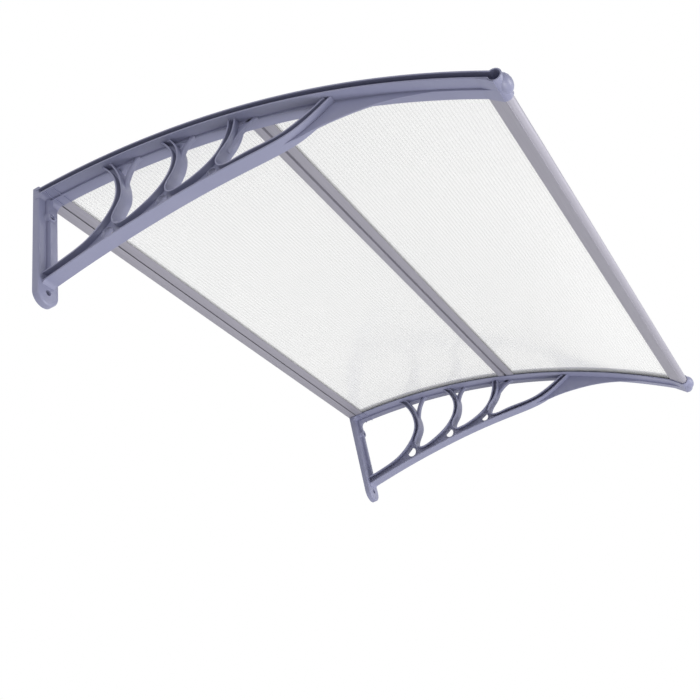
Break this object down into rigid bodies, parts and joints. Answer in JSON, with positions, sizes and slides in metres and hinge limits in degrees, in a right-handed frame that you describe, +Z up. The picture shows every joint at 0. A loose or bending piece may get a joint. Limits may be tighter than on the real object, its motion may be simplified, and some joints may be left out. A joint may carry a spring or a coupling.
{
  "type": "door canopy",
  "caption": "Arched door canopy: moulded plastic wall brackets with openwork struts carry aluminium rails and milky twin-wall polycarbonate sheets that keep rain off a doorway.",
  "frame": {"origin": "middle of the rear rail's back face, on the wall", "axes": "+X along the wall from the left bracket to the right one, +Y into the wall, +Z up, so the canopy reaches out along -Y"},
  "size_m": [1.202, 0.8353, 0.306],
  "materials": {
    "moulded_plastic": "injection-moulded plastic in blue grey, satin, with a fine grain",
    "aluminium": "extruded aluminium, anodised or coated in a purplish mid grey, satin",
    "milky_polycarbonate": "milky white twin-wall polycarbonate, smooth, letting light through"
  },
  "bodies": {
    "root": {"left_bracket": "moulded_plastic", "right_bracket": "moulded_plastic", "rear_rail": "aluminium", "middle_rail": "aluminium", "front_rail": "aluminium", "rear_sheet": "milky_polycarbonate", "front_sheet": "milky_polycarbonate"}
  },
  "joints": []
}
